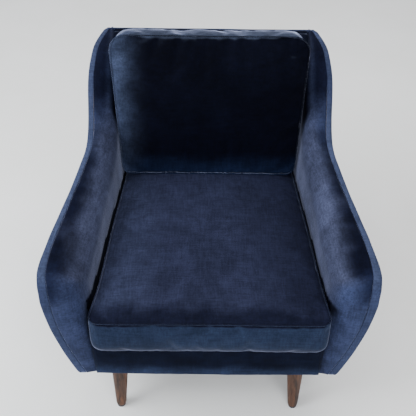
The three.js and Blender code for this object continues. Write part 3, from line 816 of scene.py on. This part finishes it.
def back_zip_zone(points):
    """Flattens the back cushion's lower boxing round its zip, and sinks the slit."""
    x, y, z = points.T.copy()
    middle = inside_back(BACK_ZIP_Z) - 0.004 - 0.056
    low = z < BACK_ZIP_Z + 0.02
    slit = zip_slit(x, y - middle) * low
    z = mix(z, BACK_ZIP_Z, zip_strip(x, y - middle) * low)
    return np.stack([x, y, z + ZIP_RECESS * slit], 1)


def make_cushions():
    cell = 0.0085
    half = (SEAT_HALF_X, SEAT_HALF_Y)
    seat = Cushion("seat_cushion_upholstery", *half, SEAT_CORNERS, cell, 14, place_seat)
    half = (BACK_HALF_X, BACK_HALF_Y)
    back = Cushion("back_cushion_upholstery", *half, BACK_CORNERS, cell, 13, place_back)
    seat_points = inflate(seat, pressure=4, ease=0.012, cap=0.024)
    back_points = inflate(back, pressure=4, ease=0.018, cap=0.028)
    nodes = ["seat_cushion_cover", "seat_cushion_core"]
    settled = settle_seat(seat_points)
    finish_cushion(seat, "seat_cushion", "seat", nodes, settled, seat_zip_zone, gather=0.0005, fill=0.9)
    nodes = ["back_cushion_cover", "back_cushion_core"]
    settled = settle_back(back_points)
    finish_cushion(back, "back_cushion", "back", nodes, settled, back_zip_zone, gather=0.0042, fill=0.8)


# ---------- Legs ----------

LEG_SIDES = 40
LEG_END_RADIUS = 0.0108
PLATE_GAP = 0.0004
leg_radius = smooth_line(
    (0, 0.0118), (0.002, 0.0136), (0.008, 0.0145), (0.06, 0.0176), (0.12, 0.0210), (0.176, 0.0236),
)


def leg(corner):
    """A turned, tapered leg between its plate and its glide."""
    foot = np.mean(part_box(f"glide_{corner}"), axis=0)
    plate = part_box(f"leg_plate_{corner}")
    low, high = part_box(f"leg_{corner}")
    top_centre = np.array([(plate[0][0] + plate[1][0]) / 2, (plate[0][1] + plate[1][1]) / 2])
    plate_z = high[2] + PLATE_GAP
    heights = [0, 0.0006, 0.002, 0.005, 0.010, 0.03, 0.06, 0.09, 0.12, 0.15, 0.17, high[2] - low[2]]
    points = []
    for h in heights:
        z = low[2] + h
        centre = mix(foot[:2], top_centre, z / plate_z)
        r = float(leg_radius(h)) if h > 0 else LEG_END_RADIUS
        for i in range(LEG_SIDES):
            a = i * 2 * math.pi / LEG_SIDES
            points.append((centre[0] + r * math.cos(a), centre[1] + r * math.sin(a), z))
    faces = grid_faces(len(heights), LEG_SIDES, wrap=True)
    faces.append(tuple(range(LEG_SIDES))[::-1])
    faces.append(tuple(range((len(heights) - 1) * LEG_SIDES, len(heights) * LEG_SIDES)))
    piece = from_arrays(f"turned_leg_{corner}", points, faces)
    for polygon in piece.data.polygons[-2:]:
        polygon.use_smooth = False
    piece.data.materials.append(FINISHES["walnut"])
    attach(piece, "chair")
    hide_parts(f"leg_{corner}")


# ---------- Materials ----------


class Nodes:
    """A short way to write a node tree."""

    def __init__(self, name):
        self.material = bpy.data.materials.new(name)
        self.material.use_nodes = True
        self.tree = self.material.node_tree
        self.shader = self.tree.nodes["Principled BSDF"]
        places = self.add("ShaderNodeTexCoord")
        self.position, self.normal = places.outputs["Object"], places.outputs["Normal"]

    def add(self, kind, **settings):
        node = self.tree.nodes.new(kind)
        for key, value in settings.items():
            setattr(node, key, value)
        return node

    def wire(self, socket, value):
        """Links a socket to another one, or sets its value."""
        if isinstance(value, bpy.types.NodeSocket):
            self.tree.links.new(value, socket)
        else:
            socket.default_value = value

    def set(self, **values):
        """Shader inputs by name, with _ for a space."""
        for key, value in values.items():
            self.wire(self.shader.inputs[key.replace("_", " ")], value)

    def stretch(self, scale):
        node = self.add("ShaderNodeMapping")
        self.wire(node.inputs["Vector"], self.position)
        node.inputs["Scale"].default_value = scale
        return node.outputs["Vector"]

    def noise(self, scale, detail=3, roughness=0.55, vector=None, distortion=0.0):
        node = self.add("ShaderNodeTexNoise")
        self.wire(node.inputs["Vector"], vector or self.position)
        node.inputs["Scale"].default_value = scale
        node.inputs["Detail"].default_value = detail
        node.inputs["Roughness"].default_value = roughness
        node.inputs["Distortion"].default_value = distortion
        return node.outputs["Fac"]

    def shaded(self, colour, factor):
        """The colour, times a factor."""
        return self.blend(1.0, colour, (factor, factor, factor, 1), mode="MULTIPLY")

    def axis(self, vector, name):
        split = self.add("ShaderNodeSeparateXYZ")
        self.wire(split.inputs[0], vector)
        return split.outputs[name]

    def upward(self):
        """1 on the upper and lower sides, 0 on upright faces, with a soft wander."""
        wander = self.spread(self.noise(6, detail=2), 0.3, 0.7, -0.08, 0.08)
        return self.math("ADD", self.math("ABSOLUTE", self.axis(self.normal, "Z")), wander)

    def light_and_shade_by_tilt(self, low, high, upright, level):
        """Painted light and shade: one tone where the cloth stands upright, and another where it lies
        level, for how the light falls on each.
        """
        return self.blend(self.spread(self.upward(), low, high), upright, level)

    def facing(self, direction, low, high):
        """Rises where the surface faces the direction."""
        node = self.add("ShaderNodeVectorMath", operation="DOT_PRODUCT")
        self.wire(node.inputs[0], self.normal)
        node.inputs[1].default_value = direction
        return self.spread(node.outputs["Value"], low, high)

    def along(self, axis, start, end, to_low=0.0, to_high=1.0, wander=0.012):
        """Rises from start to end along an axis, with a wandering border."""
        wander = self.spread(self.noise(14, detail=3), 0.3, 0.7, -wander, wander)
        place = self.math("ADD", self.axis(self.position, axis), wander)
        if start > end:
            place, start, end = self.math("MULTIPLY", place, -1), -start, -end
        return self.spread(place, start, end, to_low, to_high)

    def beyond(self, direction, start, end):
        """Rises from start to end along any direction."""
        node = self.add("ShaderNodeVectorMath", operation="DOT_PRODUCT")
        self.wire(node.inputs[0], self.position)
        node.inputs[1].default_value = direction
        return self.spread(node.outputs["Value"], start, end)

    def away_from_middle(self, start, end):
        """Rises, or falls if start is above end, with the distance from the middle plane."""
        out = self.math("ABSOLUTE", self.axis(self.position, "X"))
        if start > end:
            out, start, end = self.math("MULTIPLY", out, -1), -start, -end
        return self.spread(out, start, end)

    def hand_marks(self, seed):
        """Where the pile was stroked: swaths with crisp edges, and soft clouds."""
        wander = self.add("ShaderNodeTexNoise")
        self.wire(wander.inputs["Vector"], self.position)
        wander.inputs["Scale"].default_value = 7
        warp = self.add("ShaderNodeVectorMath", operation="MULTIPLY_ADD")
        self.wire(warp.inputs[0], wander.outputs["Color"])
        warp.inputs[1].default_value = (0.12, 0.12, 0.12)
        self.wire(warp.inputs[2], self.position)
        shift = self.add("ShaderNodeMapping")
        self.wire(shift.inputs["Vector"], warp.outputs[0])
        shift.inputs["Location"].default_value = (seed, 2.3 * seed, 0.7 * seed)
        vector = shift.outputs["Vector"]
        swaths = self.math("MULTIPLY", self.cells(11, vector), 0.30)
        clouds = self.math("MULTIPLY", self.noise(24, detail=6, roughness=0.62, vector=vector), 0.75)
        return self.math("ADD", swaths, clouds)

    def weave_streaks(self):
        """Fine slubs that run along each axis."""
        total = 0.0
        for stretch in ((26, 250, 250), (250, 26, 250), (250, 250, 26)):
            lines = self.noise(1.0, detail=2, vector=self.stretch(stretch))
            total = self.math("ADD", total, self.math("MULTIPLY", lines, 1 / 3))
        return total

    def cells(self, scale, vector):
        """A random level per cell, with soft borders."""
        node = self.add("ShaderNodeTexVoronoi", feature="SMOOTH_F1")
        self.wire(node.inputs["Vector"], vector)
        node.inputs["Scale"].default_value = scale
        node.inputs["Smoothness"].default_value = 0.40
        grey = self.add("ShaderNodeRGBToBW")
        self.wire(grey.inputs[0], node.outputs["Color"])
        return grey.outputs[0]

    def wave(self, scale, direction):
        node = self.add("ShaderNodeTexWave", wave_type="BANDS", bands_direction=direction)
        self.wire(node.inputs["Vector"], self.position)
        node.inputs["Scale"].default_value = scale
        return node.outputs["Fac"]

    def spread(self, value, low, high, to_low=0.0, to_high=1.0):
        node = self.add("ShaderNodeMapRange", interpolation_type="SMOOTHSTEP")
        for socket, number in zip(node.inputs, (value, low, high, to_low, to_high)):
            self.wire(socket, number)
        return node.outputs["Result"]

    def math(self, operation, a, b=0.0):
        node = self.add("ShaderNodeMath", operation=operation)
        self.wire(node.inputs[0], a)
        self.wire(node.inputs[1], b)
        return node.outputs[0]

    def blend(self, factor, a, b, mode="MIX"):
        node = self.add("ShaderNodeMix", data_type="RGBA", blend_type=mode)
        self.wire(node.inputs[0], factor)
        self.wire(node.inputs[6], a)
        self.wire(node.inputs[7], b)
        return node.outputs[2]

    def bump(self, height, strength, distance, base=None):
        node = self.add("ShaderNodeBump")
        self.wire(node.inputs["Height"], height)
        node.inputs["Strength"].default_value = strength
        node.inputs["Distance"].default_value = distance
        if base is not None:
            self.wire(node.inputs["Normal"], base)
        return node.outputs["Normal"]


SHEEN_TINT = (0.56, 0.62, 0.90, 1)
FRONT = (0, -1, 0)
UNDERNEATH = (0, 0, -1)


def finish_velvet(n, ground, seed, marks=0.38, sheen=0.9):
    """Cut pile over a ground tone, with hand marks, slubs in the weave, and a sheen."""
    nap = n.hand_marks(seed)
    stroked = n.spread(nap, 0.25, 0.85)
    ground = n.blend(stroked, n.shaded(ground, 1 - marks), n.shaded(ground, 1 + marks))
    streaks = n.spread(n.weave_streaks(), 0.36, 0.64)
    colour = n.blend(streaks, n.shaded(ground, 0.72), n.shaded(ground, 1.25))
    relief = n.bump(n.noise(800, detail=2), 0.25, 0.0006)
    relief = n.bump(n.noise(60, detail=4, roughness=0.65, distortion=0.4), 0.15, 0.0014, relief)
    n.set(Base_Color=colour, Roughness=n.spread(nap, 0.3, 0.9, 0.85, 0.72), Normal=relief)
    n.set(Specular_IOR_Level=0.05, Sheen_Weight=sheen, Sheen_Roughness=0.24, Sheen_Tint=SHEEN_TINT)
    return n.material


def arm_velvet():
    """Painted light and shade: near black on the level tops of the rolls, paler on the inner faces,
    bluer on faces that look forward, with painted shade on the brow of the front, high on the wing and
    in the crevices.
    """
    n = Nodes("navy_velvet_arm")
    # Painted light and shade by tilt: pale upright inner faces, near black level roll tops.
    ground = n.light_and_shade_by_tilt(0.66, 1.02, (0.0400, 0.0460, 0.0850, 1), (0.0016, 0.0024, 0.0090, 1))
    # Painted light and shade: a bluer tone on the faces that look forward.
    ground = n.blend(n.facing(FRONT, 0.05, 0.75), ground, (0.0260, 0.0350, 0.0800, 1))
    # Painted shade: a dark band across the top of the arm's front face, below the roll.
    brow_shade = n.along("Z", 0.480, 0.530, wander=0.02)
    brow_shade = n.math("MULTIPLY", brow_shade, n.along("Y", -0.320, -0.352))
    brow_shade = n.math("MULTIPLY", brow_shade, n.away_from_middle(0.335, 0.382))
    ground = n.blend(n.math("MULTIPLY", brow_shade, 0.85), ground, (0.0040, 0.0058, 0.0190, 1))
    # Painted shade: dark on the upper inner face of the wing, near its seam.
    wing_shade = n.math("MULTIPLY", n.along("Z", 0.600, 0.690), n.away_from_middle(0.284, 0.312))
    ground = n.blend(wing_shade, ground, (0.0035, 0.0048, 0.0150, 1))
    # Painted shade: near black in the crevices beside the seat and behind the back cushion.
    beside_seat = n.along("Z", 0.462, 0.446, wander=0)
    beside_seat = n.math("MULTIPLY", beside_seat, n.along("Y", -0.372, -0.345))
    behind_cushion = n.beyond((0, 1, -BACK_LEAN), 0.036, 0.056)
    behind_cushion = n.math("MULTIPLY", behind_cushion, n.away_from_middle(0.300, 0.280))
    crevice_shade = n.math("MAXIMUM", beside_seat, behind_cushion)
    ground = n.blend(crevice_shade, ground, (0.0008, 0.0012, 0.0050, 1))
    return finish_velvet(n, ground, 1.0)


def edge_velvet():
    """The outside panels and the strip along the arm's edge."""
    n = Nodes("navy_velvet_edge")
    # Painted light: a touch paler where the cloth lies level than where it stands upright.
    ground = n.light_and_shade_by_tilt(0.50, 0.97, (0.0300, 0.0400, 0.0860, 1), (0.0340, 0.0440, 0.0860, 1))
    return finish_velvet(n, ground, 5.0, marks=0.18)


def seat_velvet():
    """Painted light and shade: paler to the left, darker to the right, where the top turns down to the
    front seam, and where the boxing turns under.
    """
    n = Nodes("navy_velvet_seat")
    # Painted light and shade by tilt: the upright boxing bluer and paler than the top.
    ground = n.light_and_shade_by_tilt(0.35, 0.80, (0.0125, 0.0200, 0.0440, 1), (0.0135, 0.0158, 0.0350, 1))
    top = n.spread(n.upward(), 0.35, 0.60)
    # Painted light: the top paler towards the left, where the light falls.
    pale = n.math("MULTIPLY", top, n.along("X", -0.10, -0.28))
    ground = n.blend(pale, ground, (0.0230, 0.0280, 0.0580, 1))
    # Painted shade: the top darker towards the right and where it turns down to the front seam.
    dark = n.math("MAXIMUM", n.along("X", 0.02, 0.30, 0.0, 0.75), n.along("Y", -0.345, -0.398))
    ground = n.blend(n.math("MULTIPLY", top, dark), ground, (0.0040, 0.0050, 0.0140, 1))
    # Painted shade: dark where the boxing turns under.
    under = n.facing(UNDERNEATH, 0.15, 0.60)
    ground = n.blend(under, ground, (0.0040, 0.0060, 0.0160, 1))
    return finish_velvet(n, ground, 2.0, marks=0.26, sheen=0.5)


def back_velvet():
    """Painted light and shade: nearly black in front, paler down the left side and on the top boxing.
    Bluer towards the bottom.
    """
    n = Nodes("navy_velvet_back")
    # Painted light and shade: near black on the front, paler on the top boxing where it lies level.
    boxing = n.spread(n.upward(), 0.62, 0.92)
    boxing = n.math("MULTIPLY", boxing, n.along("Z", 0.785, 0.815, wander=0))
    ground = n.blend(boxing, (0.0008, 0.0012, 0.0052, 1), (0.0270, 0.0340, 0.0570, 1))
    # Bluer towards the bottom.
    low = n.along("Z", 0.540, 0.455, wander=0.006)
    ground = n.blend(low, ground, (0.0060, 0.0110, 0.0330, 1))
    # Painted light: paler down the left side, where the light falls.
    side = n.along("X", -0.150, -0.305, wander=0.006)
    ground = n.blend(n.math("MULTIPLY", side, side), ground, (0.0420, 0.0560, 0.1050, 1))
    return finish_velvet(n, ground, 3.0)


def rail_velvet():
    """Painted shade, dark below the overhanging cushions, and painted light, paler along the bottom
    edge.
    """
    n = Nodes("navy_velvet_rail")
    # Painted shade: near black, the level parts darkest.
    ground = n.light_and_shade_by_tilt(0.50, 0.97, (0.0012, 0.0030, 0.0120, 1), (0.0010, 0.0018, 0.0070, 1))
    # Painted light: paler along the bottom edge, below the cushions' shadow.
    ground = n.blend(n.along("Z", 0.236, 0.186, wander=0.008), ground, (0.0150, 0.0240, 0.0560, 1))
    return finish_velvet(n, ground, 4.0, sheen=0.14)


def crevice_shade_velvet():
    """Painted shade: the same cloth, near black and with almost no sheen, for the crevices that light
    hardly reaches.
    """
    n = Nodes("navy_velvet_crevice_shade")
    ground = n.light_and_shade_by_tilt(0.50, 0.97, (0.0010, 0.0014, 0.0056, 1), (0.0008, 0.0012, 0.0050, 1))
    return finish_velvet(n, ground, 6.0, marks=0.1, sheen=0.04)


def times(colour, factor):
    return tuple(factor * c for c in colour[:3]) + (1,)


def make_wood(name, dark, light, scale, roughness):
    """Grain that runs up the piece, with fine pores."""
    n = Nodes(name)
    long_way = n.stretch((1, 1, 0.055))
    figure = n.noise(46 * scale, detail=5, roughness=0.6, vector=long_way, distortion=1.2)
    pores = n.noise(420 * scale, detail=3, roughness=0.7, vector=n.stretch((1, 1, 0.03)))
    tone = n.blend(n.spread(figure, 0.35, 0.65), dark, light)
    colour = n.blend(n.spread(pores, 0.52, 0.66, 0.0, 0.65), tone, times(dark, 0.4))
    n.set(Base_Color=colour, Roughness=n.spread(pores, 0.4, 0.7, roughness, roughness + 0.15))
    n.set(Normal=n.bump(pores, 0.25, 0.0004), Specular_IOR_Level=0.35)
    return n.material


def make_foam(name, colour, scale):
    """Open cells."""
    n = Nodes(name)
    cells = n.noise(scale, detail=4, roughness=0.7)
    shade = n.blend(n.spread(cells, 0.3, 0.7), times(colour, 0.8), colour)
    n.set(Base_Color=shade, Roughness=0.95, Normal=n.bump(cells, 0.5, 0.001))
    return n.material


def make_woven(name, colour, threads):
    """Crossed threads under a little fuzz."""
    n = Nodes(name)
    weave = n.math("MULTIPLY", n.wave(threads, "X"), n.wave(threads, "Y"))
    fuzz = n.noise(300, detail=3)
    shade = n.blend(n.spread(fuzz, 0.3, 0.7, 0, 0.5), colour, times(colour, 2.0))
    n.set(Base_Color=shade, Roughness=0.9, Normal=n.bump(weave, 0.5, 0.0005))
    return n.material


def make_metal(name, colour, roughness):
    """Drawn or rolled metal, with fine lines along X."""
    n = Nodes(name)
    lines = n.noise(240, detail=3, vector=n.stretch((0.1, 1, 1)))
    n.set(Base_Color=n.blend(n.spread(lines, 0.3, 0.7), times(colour, 0.85), colour))
    n.set(Metallic=1.0, Roughness=n.spread(lines, 0.3, 0.7, roughness, roughness + 0.12))
    n.set(Normal=n.bump(lines, 0.1, 0.0002))
    return n.material


def make_nylon(name, colour):
    """Moulded plastic, slightly mottled."""
    n = Nodes(name)
    mould = n.noise(500, detail=2)
    n.set(Base_Color=n.blend(n.spread(mould, 0.3, 0.7, 0, 0.4), colour, times(colour, 1.5)))
    n.set(Roughness=0.45, Normal=n.bump(mould, 0.15, 0.0002))
    return n.material


VELVETS = {
    "arm": arm_velvet(),
    "edge": edge_velvet(),
    "seat": seat_velvet(),
    "back": back_velvet(),
    "rail": rail_velvet(),
    "crevice_shade": crevice_shade_velvet(),
}
FINISHES = {
    "velvet": VELVETS["arm"],
    "walnut": make_wood("walnut", (0.020, 0.0080, 0.0040, 1), (0.110, 0.044, 0.021, 1), 1.0, 0.55),
    "beech": make_wood("beech", (0.42, 0.26, 0.14, 1), (0.62, 0.44, 0.27, 1), 0.7, 0.6),
    "foam": make_foam("cream_foam", (0.78, 0.68, 0.48, 1), 700),
    "fibre": make_foam("white_fibre", (0.85, 0.84, 0.80, 1), 220),
    "steel": make_metal("plain_steel", (0.50, 0.51, 0.52, 1), 0.35),
    "zip_metal": make_metal("dark_zinc", (0.20, 0.20, 0.21, 1), 0.35),
    "webbing": make_woven("elastic_webbing", (0.020, 0.020, 0.022, 1), 320),
    "cambric": make_woven("black_cambric", (0.009, 0.009, 0.010, 1), 500),
    "nylon": make_nylon("dark_nylon", (0.012, 0.014, 0.020, 1)),
}


def finish_cad_nodes():
    """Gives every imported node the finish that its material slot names."""
    for part in frame["record"]["subparts"]:
        mesh = frame["nodes"][part["node"]].data
        mesh.materials.clear()
        mesh.materials.append(FINISHES[part["material_slot"]])


# ---------- Floor, light and camera ----------


FLOOR_HALF = 8


def make_floor():
    n = Nodes("pale_floor")
    stain = n.spread(n.noise(1.7, detail=5, roughness=0.6), 0.35, 0.7)
    n.set(Base_Color=n.blend(stain, (0.92, 0.92, 0.90, 1), (0.96, 0.96, 0.95, 1)))
    n.set(Roughness=0.7)
    corners = [(x * FLOOR_HALF, y * FLOOR_HALF, 0) for x, y in ((-1, -1), (1, -1), (1, 1), (-1, 1))]
    floor = from_arrays("floor", corners, [(0, 1, 2, 3)])
    floor.data.materials.append(n.material)


def area_light(name, at, aim, size, power, colour):
    data = bpy.data.lights.new(name, "AREA")
    data.shape = "RECTANGLE"
    data.size, data.size_y = size
    data.energy = power
    data.color = colour
    lamp = bpy.data.objects.new(name, data)
    lamp.location = at
    lamp.rotation_euler = (Vector(aim) - Vector(at)).to_track_quat("-Z", "Y").to_euler()
    bpy.context.scene.collection.objects.link(lamp)


def make_light():
    """Two windows, a ceiling panel and an even sky."""
    area_light("window_left", (-2.6, -0.6, 2.6), (0, 0, 0.4), (2.2, 1.8), 150, (0.93, 0.97, 1.0))
    area_light("window_front", (0.6, -3.0, 2.4), (0, 0, 0.3), (2.6, 1.6), 80, (0.96, 0.98, 1.0))
    area_light("ceiling", (0.4, 0.9, 3.4), (0, 0, 0.4), (2.6, 2.2), 70, (1.0, 0.99, 0.97))
    world = bpy.data.worlds.new("studio")
    world.use_nodes = True
    world.node_tree.nodes["Background"].inputs["Color"].default_value = (0.93, 0.95, 1.0, 1)
    world.node_tree.nodes["Background"].inputs["Strength"].default_value = 0.60
    bpy.context.scene.world = world


CAMERA_AT = (-0.0035, -1.415, 1.771)
CAMERA_PITCH = math.radians(43)
CAMERA_ROLL = math.radians(0.95)
CAMERA_YAW = math.radians(-0.5)
CAMERA_LENS = 58.5


def make_camera():
    data = bpy.data.cameras.new("camera")
    data.lens = CAMERA_LENS
    data.clip_start = 0.05
    camera = bpy.data.objects.new("camera", data)
    tilt = Matrix.Rotation(math.pi / 2 - CAMERA_PITCH, 4, "X") @ Matrix.Rotation(CAMERA_ROLL, 4, "Z")
    turn = Matrix.Rotation(CAMERA_YAW, 4, "Z")
    camera.matrix_world = turn @ Matrix.Translation(CAMERA_AT) @ tilt
    bpy.context.scene.collection.objects.link(camera)
    bpy.context.scene.camera = camera


# ---------- The chair ----------


def main():
    make_camera()
    make_light()
    make_floor()
    finish_cad_nodes()
    arm_piece("arm_outside_upholstery", outside_panel(), "edge", ["outside_arm_cover"], 3)
    inside = pucker(inside_panel(), 0.0007, 0.022, 3, 5.0)
    arm_piece("arm_inside_upholstery", inside, "arm", ["inside_arm_cover", "arm_padding"], 8)
    front_rail()
    inside_back_panel()
    outside_back_panel()
    make_cushions()
    for corner in ("front_right", "front_left", "rear_right", "rear_left"):
        leg(corner)


main()
